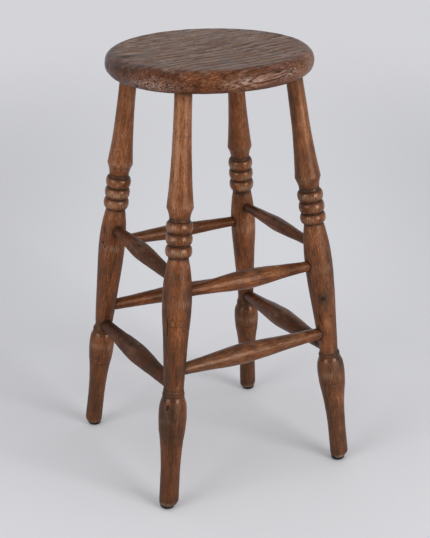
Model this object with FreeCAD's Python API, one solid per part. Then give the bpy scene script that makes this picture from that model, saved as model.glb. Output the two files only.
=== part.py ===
import FreeCAD, Part
import math
import os

# A tall stool: a round solid seat, four splayed turned legs and eight turned stretchers.
# Millimetres, +Z up, the floor at zero, the front towards -Y, the origin under the seat's middle.

# Overall
stool_height = 690.0
seat_diameter = 322.0
seat_thickness = 35.3

# Seat edge: a bull nose
seat_top_round_depth = 17.0
seat_top_round_reach = 17.0
seat_under_round_reach = 15.0

# Stance: how far a leg's middle stands in from the seat's edge, and how far it leans each way
leg_inset = 26.9
splay_degrees = 5.514

# Leg, from the floor up; heights are those of the standing stool
foot_diameter = 28.8
foot_chamfer = 1.5
ankle_height = 60.0
ankle_diameter = 29.3
swell_height = 156.0
swell_diameter = 43.6
swell_shoulder = 30.0
ring_groove_diameter = 34.2
ring_diameter = 36.0
ring_width = 5.0
ring_top_diameter = 34.0
neck_rise = 12.0
neck_diameter = 30.5
vase_rise = 134.0
vase_diameter = 44.5
vase_to_middle_bead = 102.5
bead_count = 3
bead_diameter = 41.0
bead_width = 15.5
bead_groove_diameter = 32.5
bead_groove_width = 3.2
bell_rise = 19.0
bell_diameter = 41.5
leg_top_diameter = 27.0

# Stretchers: where they meet the legs, and the thickest one
lower_stretcher_above_ring = 9.0
lower_stagger = 29.2
upper_stretcher_above_vase = 11.4
upper_stagger = 26.3
stretcher_diameter = 33.0

# Round tenons and their blind holes
leg_tenon_length = 24.0
upper_tenon_diameter = 17.0
lower_tenon_diameter = 19.0
mortise_depth_share = 0.62
tenon_end_gap = 1.0
tenon_chamfer = 1.0
glue_gap = 0.12
cut_overrun = 8.0

# Domed glides nailed under the legs, their crowns worn flat
glide_height = 7.0
glide_diameter = 22.5
glide_rim = 1.4
glide_wear = 1.2
nail_head_diameter = 8.0
nail_head_thickness = 1.2
nail_head_cover = 3.0
nail_diameter = 2.6
nail_length = 22.0
nail_point = 4.0
nail_gap = 0.05

# Hand work: the usual stray from the true place, and each piece's share of it
hand_wander = 5.0
leg_top_wander_shares = {
    "front_left": (0.16, -0.26),
    "front_right": (0.26, -0.06),
    "back_left": (0.30, -0.15),
    "back_right": (0.10, 0.02),
}
foot_wander_shares = {
    "front_left": (-1.04, -0.32),
    "front_right": (0.74, 0.66),
    "back_left": (0.64, 0.68),
    "back_right": (-0.54, -1.00),
}
swell_wander_shares = {"front_left": -1.2, "front_right": 1.2, "back_left": 0.8, "back_right": -0.2}
bead_wander_shares = {"front_left": -1.0, "front_right": 1.3, "back_left": 0.1, "back_right": -0.4}
glide_wander_shares = {
    "front_left": (-0.38, 0.20),
    "front_right": (-0.46, 0.24),
    "back_left": (0.32, -0.16),
    "back_right": (0.10, -0.06),
}

# Each leg's thickness against the sizes above
leg_size_shares = {"front_left": 1.03, "front_right": 1.01, "back_left": 0.98, "back_right": 0.98}

# Curves, each as (share of the way along, share of the change in diameter)
swell_rise_shares = ((0.42, 0.24), (0.71, 0.68))
swell_shoulder_shares = ((0.29, 0.05), (0.57, 0.24), (0.84, 0.60))
cove_shares = ((0.50, 0.68),)
vase_rise_shares = ((0.42, 0.44), (0.72, 0.82))
vase_shoulder_shares = ((0.30, 0.05), (0.58, 0.27), (0.80, 0.64))
taper_shares = ((0.12, 0.27), (0.26, 0.53), (0.48, 0.79), (0.72, 0.93))
stretcher_shares = ((0.30, 0.24), (0.52, 0.54), (0.76, 0.81))
early_round_shares = ((0.293, 0.707),)
late_round_shares = ((0.707, 0.293),)

# Each stretcher: the legs it joins, its level, the wander of its ends, the swell against the
# thickest one, where along it the swell lies, and its ends against the level's tenon
stretchers = {
    "left_upper": ("back_left", "front_left", "upper_side"),
    "left_lower": ("back_left", "front_left", "lower_side"),
    "right_upper": ("back_right", "front_right", "upper_side"),
    "right_lower": ("back_right", "front_right", "lower_side"),
    "front_upper": ("front_left", "front_right", "upper_front"),
    "front_lower": ("front_left", "front_right", "lower_front"),
    "back_upper": ("back_left", "back_right", "upper_front"),
    "back_lower": ("back_left", "back_right", "lower_front"),
}
end_wander_shares = {
    "left_upper": (0.06, -1.38),
    "left_lower": (-0.34, 0.18),
    "right_upper": (0.46, 0.62),
    "right_lower": (-0.10, 0.26),
    "front_upper": (0.06, -0.10),
    "front_lower": (-0.80, 0.24),
    "back_upper": (0.10, -0.06),
    "back_lower": (0.22, 0.28),
}
swell_size_shares = {
    "left_upper": 0.88,
    "left_lower": 1.00,
    "right_upper": 0.73,
    "right_lower": 1.05,
    "front_upper": 0.95,
    "front_lower": 1.00,
    "back_upper": 0.76,
    "back_lower": 0.85,
}
swell_place_shares = {
    "left_upper": 0.46,
    "left_lower": 0.50,
    "right_upper": 0.50,
    "right_lower": 0.46,
    "front_upper": 0.48,
    "front_lower": 0.42,
    "back_upper": 0.45,
    "back_lower": 0.50,
}
tenon_size_shares = {"right_upper": 0.88}

# Worked out from the sizes above
seat_underside = stool_height - seat_thickness
socket_reach = (seat_diameter / 2 - leg_inset) / math.sqrt(2)
foot_reach = socket_reach + seat_underside * math.tan(math.radians(splay_degrees))
groove_height = swell_height + swell_shoulder
ring_top_height = groove_height + ring_width
neck_height = ring_top_height + neck_rise
vase_height = neck_height + vase_rise
lower_side_height = ring_top_height + lower_stretcher_above_ring
upper_front_height = vase_height + upper_stretcher_above_vase
stretcher_heights = {
    "lower_side": lower_side_height,
    "lower_front": lower_side_height + lower_stagger,
    "upper_front": upper_front_height,
    "upper_side": upper_front_height + upper_stagger,
}
tenon_diameters = {"upper": upper_tenon_diameter, "lower": lower_tenon_diameter}

UP = FreeCAD.Vector(0, 0, 1)
OUT = FreeCAD.Vector(1, 0, 0)
IN = FreeCAD.Vector(-1, 0, 0)


class Outline:
    """The half outline of a turned piece, drawn from its axis and back to it."""

    def __init__(self, along):
        self.first = FreeCAD.Vector(0, 0, along)
        self.here = self.first
        self.edges = []

    def line(self, diameter, along):
        there = FreeCAD.Vector(diameter / 2, 0, along)
        self.edges.append(Part.makeLine(self.here, there))
        self.here = there

    def bead(self, crown_diameter, diameter, along):
        """One arc from here over the crown, halfway, to the given place."""
        there = FreeCAD.Vector(diameter / 2, 0, along)
        crown = FreeCAD.Vector(crown_diameter / 2, 0, (self.here.z + along) / 2)
        self.edges.append(Part.Arc(self.here, crown, there).toShape())
        self.here = there

    def flow(self, shares, diameter, along, leaving=None, arriving=None):
        """One smooth curve to the given place, through the shares of the way and of the change."""
        there = FreeCAD.Vector(diameter / 2, 0, along)
        step = there - self.here
        between = [self.here + FreeCAD.Vector(step.x * out, 0, step.z * way) for way, out in shares]
        points = [self.here] + between + [there]
        tangents = [leaving or UP] + [UP] * len(between) + [arriving or UP]
        flags = [leaving is not None] + [False] * len(between) + [arriving is not None]
        curve = Part.BSplineCurve()
        curve.interpolate(Points=points, Tangents=tangents, TangentFlags=flags)
        self.edges.append(curve.toShape())
        self.here = there

    def turned(self):
        """The solid of revolution about the axis."""
        end = FreeCAD.Vector(0, 0, self.here.z)
        if self.here.x > 0:
            self.edges.append(Part.makeLine(self.here, end))
        self.edges.append(Part.makeLine(end, self.first))
        face = Part.Face(Part.Wire(self.edges))
        solid = face.revolve(FreeCAD.Vector(), UP, 360)
        if solid.Volume < 0:
            solid.reverse()
        return solid


def placed(solid, start, end):
    """A solid made along +Z from zero, moved so that it runs from start towards end."""
    moved = solid.copy()
    moved.Placement = FreeCAD.Placement(start, FreeCAD.Rotation(UP, end - start))
    return moved


def bore(diameter, start, end):
    """A round cutter from start to end."""
    return placed(Part.makeCylinder(diameter / 2, (end - start).Length), start, end)


class Leg:
    """One turned leg, whose axis runs from its foot on the floor to the seat's underside."""

    def __init__(self, name):
        across = -1 if name.endswith("left") else 1
        deep = -1 if name.startswith("front") else 1
        foot_x, foot_y = foot_wander_shares[name]
        top_x, top_y = leg_top_wander_shares[name]
        glide_x, glide_y = glide_wander_shares[name]
        self.name = name
        self.foot = FreeCAD.Vector(
            across * foot_reach + foot_x * hand_wander, deep * foot_reach + foot_y * hand_wander, 0
        )
        self.top = FreeCAD.Vector(
            across * socket_reach + top_x * hand_wander,
            deep * socket_reach + top_y * hand_wander,
            seat_underside,
        )
        self.direction = (self.top - self.foot).normalize()
        self.lean = (self.top - self.foot).Length / seat_underside
        aside = FreeCAD.Vector(glide_x * hand_wander, glide_y * hand_wander, 0)
        self.glide_foot = self.foot + aside - self.direction * aside.dot(self.direction)
        self.blank = placed(self.turning(), self.foot, self.top)
        self.holes = []

    def at(self, height):
        """The point of the leg's axis at a height above the floor."""
        return self.foot + self.direction * (height * self.lean)

    def turning(self):
        lean = self.lean
        size = leg_size_shares[self.name]
        start = glide_height * lean
        swell = swell_height + swell_wander_shares[self.name] * hand_wander
        middle_bead = vase_height + vase_to_middle_bead + bead_wander_shares[self.name] * hand_wander
        beads_length = bead_count * bead_width + (bead_count - 1) * bead_groove_width
        beads_foot = middle_bead - beads_length / 2
        beads_top = beads_foot + beads_length
        bell_foot = beads_top + bead_groove_width
        bell_height = bell_foot + bell_rise
        outline = Outline(start)
        outline.line(size * foot_diameter - 2 * foot_chamfer, start)
        outline.line(size * foot_diameter, start + foot_chamfer)
        outline.line(size * ankle_diameter, ankle_height * lean)
        outline.flow(swell_rise_shares, size * swell_diameter, swell * lean, UP, UP)
        outline.flow(swell_shoulder_shares, ring_groove_diameter, groove_height * lean, UP)
        outline.bead(ring_diameter, ring_top_diameter, ring_top_height * lean)
        outline.flow(cove_shares, neck_diameter, neck_height * lean, arriving=UP)
        outline.flow(vase_rise_shares, size * vase_diameter, vase_height * lean, arriving=UP)
        vase_end = beads_foot - bead_groove_width
        outline.flow(vase_shoulder_shares, bead_groove_diameter, vase_end * lean, UP)
        for count in range(bead_count):
            bead_foot = beads_foot + count * (bead_width + bead_groove_width)
            outline.line(bead_groove_diameter, bead_foot * lean)
            outline.bead(bead_diameter, bead_groove_diameter, (bead_foot + bead_width) * lean)
        outline.line(bead_groove_diameter, bell_foot * lean)
        outline.line(bell_diameter, bell_height * lean)
        outline.flow(taper_shares, leg_top_diameter, seat_underside * lean, arriving=UP)
        end = seat_underside * lean + leg_tenon_length
        outline.line(leg_top_diameter, end - tenon_chamfer)
        outline.line(leg_top_diameter - 2 * tenon_chamfer, end)
        return outline.turned()

    def wood_towards(self, height, other):
        """How much wood lies between the axis at a height and the surface towards a point."""
        here = self.at(height)
        way = (other - here).normalize()
        ray = Part.makeLine(here, here + way * vase_diameter)
        return ray.common(self.blank).Length

    def seat_socket(self):
        """The cutter for this leg's blind socket in the seat."""
        start = self.top - self.direction * cut_overrun
        end = self.top + self.direction * (leg_tenon_length + tenon_end_gap)
        return bore(leg_top_diameter + 2 * glue_gap, start, end)

    def nail_start(self):
        """The underside of the glide nail's head, on the glide's axis."""
        return self.glide_foot + self.direction * (nail_head_cover - glide_wear)

    def solid(self):
        nail_end = self.nail_start() + self.direction * (nail_length + nail_gap)
        nail_hole = bore(nail_diameter + 2 * nail_gap, self.nail_start(), nail_end)
        return self.blank.cut(self.holes + [nail_hole])


def seat_solid(legs):
    under_flat = seat_diameter - 2 * seat_under_round_reach
    top_flat = seat_diameter - 2 * seat_top_round_reach
    outline = Outline(seat_underside)
    outline.line(under_flat, seat_underside)
    outline.flow(early_round_shares, seat_diameter, stool_height - seat_top_round_depth, OUT, UP)
    outline.flow(late_round_shares, top_flat, stool_height, UP, IN)
    return outline.turned().cut([leg.seat_socket() for leg in legs.values()])


def stretcher_solid(name, legs):
    """One stretcher, and its two blind holes added to its legs."""
    first_name, second_name, level = stretchers[name]
    first, second = legs[first_name], legs[second_name]
    first_height = stretcher_heights[level] + end_wander_shares[name][0] * hand_wander
    second_height = stretcher_heights[level] + end_wander_shares[name][1] * hand_wander
    start, end = first.at(first_height), second.at(second_height)
    direction = (end - start).normalize()
    length = (end - start).Length
    first_wood = first.wood_towards(first_height, end)
    second_wood = second.wood_towards(second_height, start)
    first_bottom = first_wood * (1 - 2 * mortise_depth_share)
    second_bottom = length - second_wood * (1 - 2 * mortise_depth_share)
    tenon = tenon_diameters[level.split("_")[0]] * tenon_size_shares.get(name, 1)
    hole = tenon + 2 * glue_gap
    first.holes.append(bore(hole, start + direction * (first_wood + cut_overrun),
                            start + direction * first_bottom))
    second.holes.append(bore(hole, start + direction * (length - second_wood - cut_overrun),
                             start + direction * second_bottom))

    swell = stretcher_diameter * swell_size_shares[name]
    crest = length * swell_place_shares[name]
    rising_shares = [(1 - way, 1 - change) for way, change in reversed(stretcher_shares)]
    tenon_start = first_bottom + tenon_end_gap
    tenon_end = second_bottom - tenon_end_gap
    outline = Outline(tenon_start)
    outline.line(tenon - 2 * tenon_chamfer, tenon_start)
    outline.line(tenon, tenon_start + tenon_chamfer)
    outline.line(tenon, first_wood)
    outline.flow(rising_shares, swell, crest, arriving=UP)
    outline.flow(stretcher_shares, tenon, length - second_wood, leaving=UP)
    outline.line(tenon, tenon_end - tenon_chamfer)
    outline.line(tenon - 2 * tenon_chamfer, tenon_end)
    return placed(outline.turned(), start, end)


def nail_solid(leg, gap):
    """A glide's nail, head down, made larger all round by the gap."""
    outline = Outline(-gap)
    head_top = nail_head_thickness + gap
    outline.line(nail_head_diameter + 2 * gap, -gap)
    outline.line(nail_head_diameter + 2 * gap, head_top)
    outline.line(nail_diameter + 2 * gap, head_top)
    outline.line(nail_diameter + 2 * gap, nail_length - nail_point)
    outline.line(0, nail_length + gap)
    return placed(outline.turned(), leg.nail_start(), leg.nail_start() + leg.direction)


def glide_solid(leg):
    base = glide_height * leg.lean
    outline = Outline(-glide_wear)
    outline.flow(early_round_shares, glide_diameter, base - glide_rim, OUT, UP)
    outline.line(glide_diameter, base)
    dome = placed(outline.turned(), leg.glide_foot, leg.glide_foot + leg.direction)
    room = 2 * glide_diameter
    corner = leg.foot - FreeCAD.Vector(room / 2, room / 2, 0)
    above_floor = Part.makeBox(room, room, room, corner)
    return dome.common(above_floor).cut(nail_solid(leg, nail_gap))


def build():
    """Every piece of the stool, by name."""
    legs = {name: Leg(name) for name in foot_wander_shares}
    pieces = {"seat": seat_solid(legs)}
    for name in stretchers:
        pieces["stretcher_" + name] = stretcher_solid(name, legs)
    for name, leg in legs.items():
        pieces["leg_" + name] = leg.solid()
        pieces["glide_" + name] = glide_solid(leg)
        pieces["glide_nail_" + name] = nail_solid(leg, 0)
    return pieces


os.makedirs("parts", exist_ok=True)
for piece_name, piece in build().items():
    piece.exportStep("parts/" + piece_name + ".step")
    box = piece.BoundBox
    print("%-26s solids %d valid %s volume %.0f x %.1f..%.1f y %.1f..%.1f z %.1f..%.1f" % (
        piece_name, len(piece.Solids), piece.isValid(), piece.Volume,
        box.XMin, box.XMax, box.YMin, box.YMax, box.ZMin, box.ZMax))
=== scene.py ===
"""Looks of a tall turned stool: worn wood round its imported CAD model, in a plain studio."""
import math
from dataclasses import dataclass

import bpy
import numpy as np
from mathutils import Matrix, Vector


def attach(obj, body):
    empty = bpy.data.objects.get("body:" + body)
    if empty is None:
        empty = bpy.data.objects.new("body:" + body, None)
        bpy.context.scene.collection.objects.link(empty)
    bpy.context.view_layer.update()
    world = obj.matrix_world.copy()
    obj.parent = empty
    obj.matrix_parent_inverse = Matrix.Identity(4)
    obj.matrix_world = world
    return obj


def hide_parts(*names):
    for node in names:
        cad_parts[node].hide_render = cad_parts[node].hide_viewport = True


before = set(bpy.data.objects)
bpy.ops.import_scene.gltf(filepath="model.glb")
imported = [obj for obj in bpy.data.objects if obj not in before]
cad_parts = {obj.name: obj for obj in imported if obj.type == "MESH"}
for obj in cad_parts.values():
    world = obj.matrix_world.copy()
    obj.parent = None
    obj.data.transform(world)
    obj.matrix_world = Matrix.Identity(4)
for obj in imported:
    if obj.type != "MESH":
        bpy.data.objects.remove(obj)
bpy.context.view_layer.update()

# Shapes are worked out in millimetres in the frame of the CAD model, and made in metres.
METRES = 0.001
TURN = 2 * math.pi
any_turn = (0, TURN)

# Camera: the photograph's viewpoint
camera_place = (-994.91, -1901.91, 1173.08)
camera_aim = (0.43325683, 0.8222287, -0.36909142)
camera_roll = -0.006918
camera_lens = 93.81
viewpoint_turn = math.radians(27.63)

# Seat
stool_height = 690.0
seat_thickness = 35.3
seat_underside = stool_height - seat_thickness
seat_long_radius = 163.4
seat_short_radius = 156.7
seat_middle = (-0.2, -0.6)
seat_turn = 0.035
seat_slope = (0.002, -0.001)
seat_top_round_depth = 17.2
seat_top_round_reach = 17.0
seat_under_round_reach = 13.5

# Parts of a leg that are the same on all four
glide_height = 7.0
foot_round = 2.4
ankle_height = 62.0
ring_width = 5.0
neck_hollow_drop = 4.0
bead_diameter = 41.4
bead_groove_diameter = 33.6
bead_groove_width = 1.6
bead_crown_rise = 9.0
bell_foot_width = 3.0
vase_hollow_rise = 1.0
bell_diameter = 41.5
leg_tenon_length = 24.0

# Curves, each as (share of the way along, share of the change in diameter)
foot_round_shares = ((0.3, 0.7),)
swell_rise_shares = ((0.18, 0.07), (0.35, 0.19), (0.53, 0.40), (0.66, 0.62), (0.75, 0.80), (0.88, 0.94))
swell_shoulder_shares = ((0.25, 0.04), (0.48, 0.13), (0.68, 0.36), (0.85, 0.70))
cove_shares = ((0.50, 0.68),)
vase_shoulder_shares = ((0.25, 0.05), (0.47, 0.19), (0.60, 0.34), (0.725, 0.50), (0.85, 0.70), (0.95, 0.90))
bell_shares = ((0.35, 0.20), (0.70, 0.58))
taper_shares = ((0.12, 0.27), (0.26, 0.53), (0.48, 0.79), (0.72, 0.93))
stretcher_shares = ((0.30, 0.24), (0.52, 0.54), (0.76, 0.81))


@dataclass
class LegShape:
    """What differs from leg to leg.

    A pair is a height above the floor and a diameter there. Tones are those at the floor, the swell,
    the vase, the bell and the seat. Foot wear is a turn in degrees and a depth.
    """

    foot: tuple
    top: tuple
    bow: tuple
    foot_diameter: float
    swell: tuple
    groove: tuple
    ring_diameter: float
    neck: tuple
    vase_rise_shares: tuple
    vase: tuple
    vase_end: tuple
    bead_edges: tuple
    bell_height: float
    top_diameter: float
    tones: tuple
    pith: tuple
    foot_wear: tuple
    foot_chips: float
    fade: float


leg_shapes = {
    "front_left": LegShape(
        foot=(-163.2, -159.6), top=(-94.0, -96.1), bow=(1.1, -1.5), foot_diameter=30.6,
        swell=(152.0, 44.1), groove=(186.5, 33.7), ring_diameter=34.8, neck=(201.0, 31.7),
        vase_rise_shares=((0.40, 0.36), (0.64, 0.63), (0.76, 0.81), (0.88, 0.94)),
        vase=(337.0, 45.8), vase_end=(403.5, 31.5), bead_edges=(406.0, 424.5, 443.0, 461.5),
        bell_height=481.5, top_diameter=26.9, tones=(0.22, 0.32, 0.37, 0.69, 0.80), pith=(14.0, 34.0),
        foot_wear=(70, 2.2), foot_chips=0.60, fade=0.0,
    ),
    "front_right": LegShape(
        foot=(161.7, -154.7), top=(96.1, -95.1), bow=(3.7, -1.1), foot_diameter=29.5,
        swell=(160.0, 44.8), groove=(189.5, 33.4), ring_diameter=34.6, neck=(200.5, 29.8),
        vase_rise_shares=((0.28, 0.31), (0.50, 0.57), (0.72, 0.83)),
        vase=(346.0, 44.6), vase_end=(417.0, 31.8), bead_edges=(418.5, 436.0, 455.0, 473.0),
        bell_height=494.0, top_diameter=26.4, tones=(0.19, 0.35, 0.42, 0.56, 0.62), pith=(-30.0, 22.0),
        foot_wear=(75, 3.4), foot_chips=0.90, fade=0.06,
    ),
    "back_left": LegShape(
        foot=(-154.8, 161.4), top=(-93.3, 94.1), bow=(0.9, -0.4), foot_diameter=28.3,
        swell=(159.5, 42.4), groove=(185.0, 33.0), ring_diameter=34.2, neck=(197.0, 28.6),
        vase_rise_shares=((0.18, 0.27), (0.40, 0.49), (0.62, 0.71), (0.84, 0.93)),
        vase=(346.0, 44.0), vase_end=(409.5, 31.4), bead_edges=(411.5, 430.5, 449.0, 467.5),
        bell_height=490.0, top_diameter=27.0, tones=(0.35, 0.41, 0.49, 0.62, 0.72), pith=(36.0, -12.0),
        foot_wear=(-100, 1.2), foot_chips=0.25, fade=0.03,
    ),
    "back_right": LegShape(
        foot=(155.3, 153.0), top=(95.3, 94.9), bow=(3.6, -1.3), foot_diameter=28.2,
        swell=(155.0, 42.7), groove=(181.5, 31.6), ring_diameter=32.4, neck=(195.0, 27.5),
        vase_rise_shares=((0.43, 0.40), (0.65, 0.65), (0.87, 0.93)),
        vase=(340.0, 42.6), vase_end=(403.0, 31.3), bead_edges=(407.5, 427.5, 446.7, 465.8),
        bell_height=486.5, top_diameter=26.9, tones=(0.30, 0.36, 0.58, 0.54, 0.58), pith=(-18.0, -38.0),
        foot_wear=(40, 1.4), foot_chips=0.40, fade=0.03,
    ),
}


@dataclass
class StretcherShape:
    """How high a stretcher meets its two legs, its diameters at the crest and at both ends, and its skin.

    A rub is a share of the length, a reach and a strength. A pit is a share of the length, a turn in
    degrees, a depth and a radius.
    """

    heights: tuple
    crest_share: float
    crest_diameter: float
    end_diameters: tuple
    tone: float
    polish: float = 0.6
    rubs: tuple = ()
    pits: tuple = ()


stretcher_legs = {
    "left": ("back_left", "front_left"),
    "right": ("back_right", "front_right"),
    "front": ("front_left", "front_right"),
    "back": ("back_left", "back_right"),
}
stretcher_shapes = {
    "left_upper": StretcherShape((375.0, 367.8), 0.46, 29.0, (18.0, 19.0), 0.36, polish=-0.5),
    "left_lower": StretcherShape((198.3, 200.9), 0.50, 33.0, (20.0, 20.5), 0.24, polish=-0.5),
    "right_upper": StretcherShape((377.0, 377.8), 0.50, 24.0, (14.8, 14.8), 0.42),
    "right_lower": StretcherShape((199.5, 201.3), 0.46, 34.8, (19.5, 19.5), 0.35),
    "front_upper": StretcherShape((348.7, 347.9), 0.48, 31.3, (17.5, 16.5), 0.52,
                                  rubs=((0.45, 60, 0.14), (0.95, 25, 0.18))),
    "front_lower": StretcherShape((225.2, 230.4), 0.42, 33.0, (19.5, 19.0), 0.45, polish=0.9,
                                  rubs=((0.12, 45, 0.30), (0.50, 150, 0.22), (0.74, 40, 0.26)),
                                  pits=((0.063, 38, 1.0, 1.5),)),
    "back_upper": StretcherShape((348.9, 348.1), 0.45, 25.0, (17.5, 17.0), 0.48, rubs=((0.20, 40, 0.22),)),
    "back_lower": StretcherShape((230.3, 230.6), 0.50, 28.0, (19.0, 18.5), 0.44),
}


# Making shapes


def smooth_path(places, values, wanted, flat_start, flat_end):
    """Values at the wanted places, on a smooth path through the given ones that never overshoots."""
    steps = np.diff(places)
    slopes = np.diff(values) / steps
    turns = np.zeros(len(places))
    for index in range(1, len(places) - 1):
        before, after = slopes[index - 1], slopes[index]
        if before * after > 0:
            first = 2 * steps[index] + steps[index - 1]
            second = steps[index] + 2 * steps[index - 1]
            turns[index] = (first + second) / (first / before + second / after)
    turns[0] = 0 if flat_start else slopes[0]
    turns[-1] = 0 if flat_end else slopes[-1]
    cell = np.clip(np.searchsorted(places, wanted, side="right") - 1, 0, len(steps) - 1)
    step = steps[cell]
    share = (wanted - places[cell]) / step
    start_weight = (1 + 2 * share) * (1 - share) ** 2
    end_weight = share ** 2 * (3 - 2 * share)
    start_turn = share * (1 - share) ** 2 * step
    end_turn = share ** 2 * (share - 1) * step
    return (start_weight * values[cell] + end_weight * values[cell + 1]
            + start_turn * turns[cell] + end_turn * turns[cell + 1])


class Outline:
    """The half outline of a turned piece: places along its axis and the radius at each."""

    fineness = 1.25
    bead_steps = 15

    def __init__(self, place, diameter):
        self.places = [place]
        self.radii = [diameter / 2]

    def add(self, places, radii):
        self.places += list(places)
        self.radii += list(radii)

    def flow(self, shares, diameter, place, flat_start=False, flat_end=True):
        """One smooth curve to the given place, through shares of the way and of the change."""
        ways = np.array([0.0] + [way for way, change in shares] + [1.0])
        changes = np.array([0.0] + [change for way, change in shares] + [1.0])
        length = place - self.places[-1]
        count = max(2, round(abs(length) / self.fineness))
        wanted = np.linspace(0, 1, count + 1)[1:]
        change = smooth_path(ways, changes, wanted, flat_start, flat_end)
        rise = diameter / 2 - self.radii[-1]
        self.add(self.places[-1] + length * wanted, self.radii[-1] + rise * change)

    def line(self, diameter, place):
        self.flow((), diameter, place, flat_end=False)

    def bead(self, crown_diameter, diameter, place):
        """A half oval from here over the crown, halfway, to the given place."""
        angles = np.linspace(0, math.pi, self.bead_steps + 1)[1:]
        start, radius = self.places[-1], self.radii[-1]
        share = (1 - np.cos(angles)) / 2
        floor_radii = radius + (diameter / 2 - radius) * share
        crown_rise = (crown_diameter - diameter) / 2
        self.add(start + (place - start) * share, floor_radii + crown_rise * np.sin(angles))

    def arrays(self):
        return np.array(self.places), np.array(self.radii)


def ripple(points, sizes, seed, waves=16):
    """Smooth noise of about unit swing, with features about as long as the size on each axis."""
    chance = np.random.default_rng(seed)
    ways = chance.normal(size=(waves, 3))
    ways /= np.linalg.norm(ways, axis=1, keepdims=True)
    ways *= chance.uniform(0.6, 1.6, size=(waves, 1)) * TURN / np.array(sizes)
    offsets = chance.uniform(0, TURN, waves)
    return np.sin(points @ ways.T + offsets).sum(axis=-1) / math.sqrt(waves)


def ripples(points, table, seed=0):
    """The sum of ripples, each given as its swing, its sizes and what to add to the seed."""
    return sum(swing * ripple(points, sizes, seed + step) for swing, sizes, step in table)


def hump(distance, reach):
    """A bell curve: one at no distance, fading out over the reach."""
    return np.exp(-((distance / reach) ** 2))


def fade(gap, reach):
    """One where there is no gap, fading out over the reach."""
    return np.exp(-np.clip(gap, 0, None) / reach)


def ease(value, low, high):
    """Rises smoothly from zero at low to one at high."""
    share = np.clip((value - low) / (high - low), 0, 1)
    return share * share * (3 - 2 * share)


def unit(vector):
    return vector / np.linalg.norm(vector)


class Frame:
    """Directions for a turned piece: along its axis, towards the photograph's viewpoint, and right."""

    def __init__(self, start, end):
        self.along = unit(end - start)
        viewer = np.array([-math.sin(viewpoint_turn), -math.cos(viewpoint_turn), 0.0])
        self.facing = unit(viewer - self.along * viewer.dot(self.along))
        self.right = np.cross(self.along, self.facing)

    def ring_directions(self, angles):
        return np.outer(np.cos(angles), self.facing) + np.outer(np.sin(angles), self.right)


paint_names = ("tone", "grime_and_shade", "wear_and_highlight", "hollow", "polish")
# Where a pit's lip starts and ends, as shares of its radius
pit_lip_shares = (0.55, 1.25)
# How the grain of turned wood wanders: a swing, sizes and a step of the seed
grain_ripples = ((1.6, (60, 60, 150), 0), (1.6, (60, 60, 150), 1))


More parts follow.
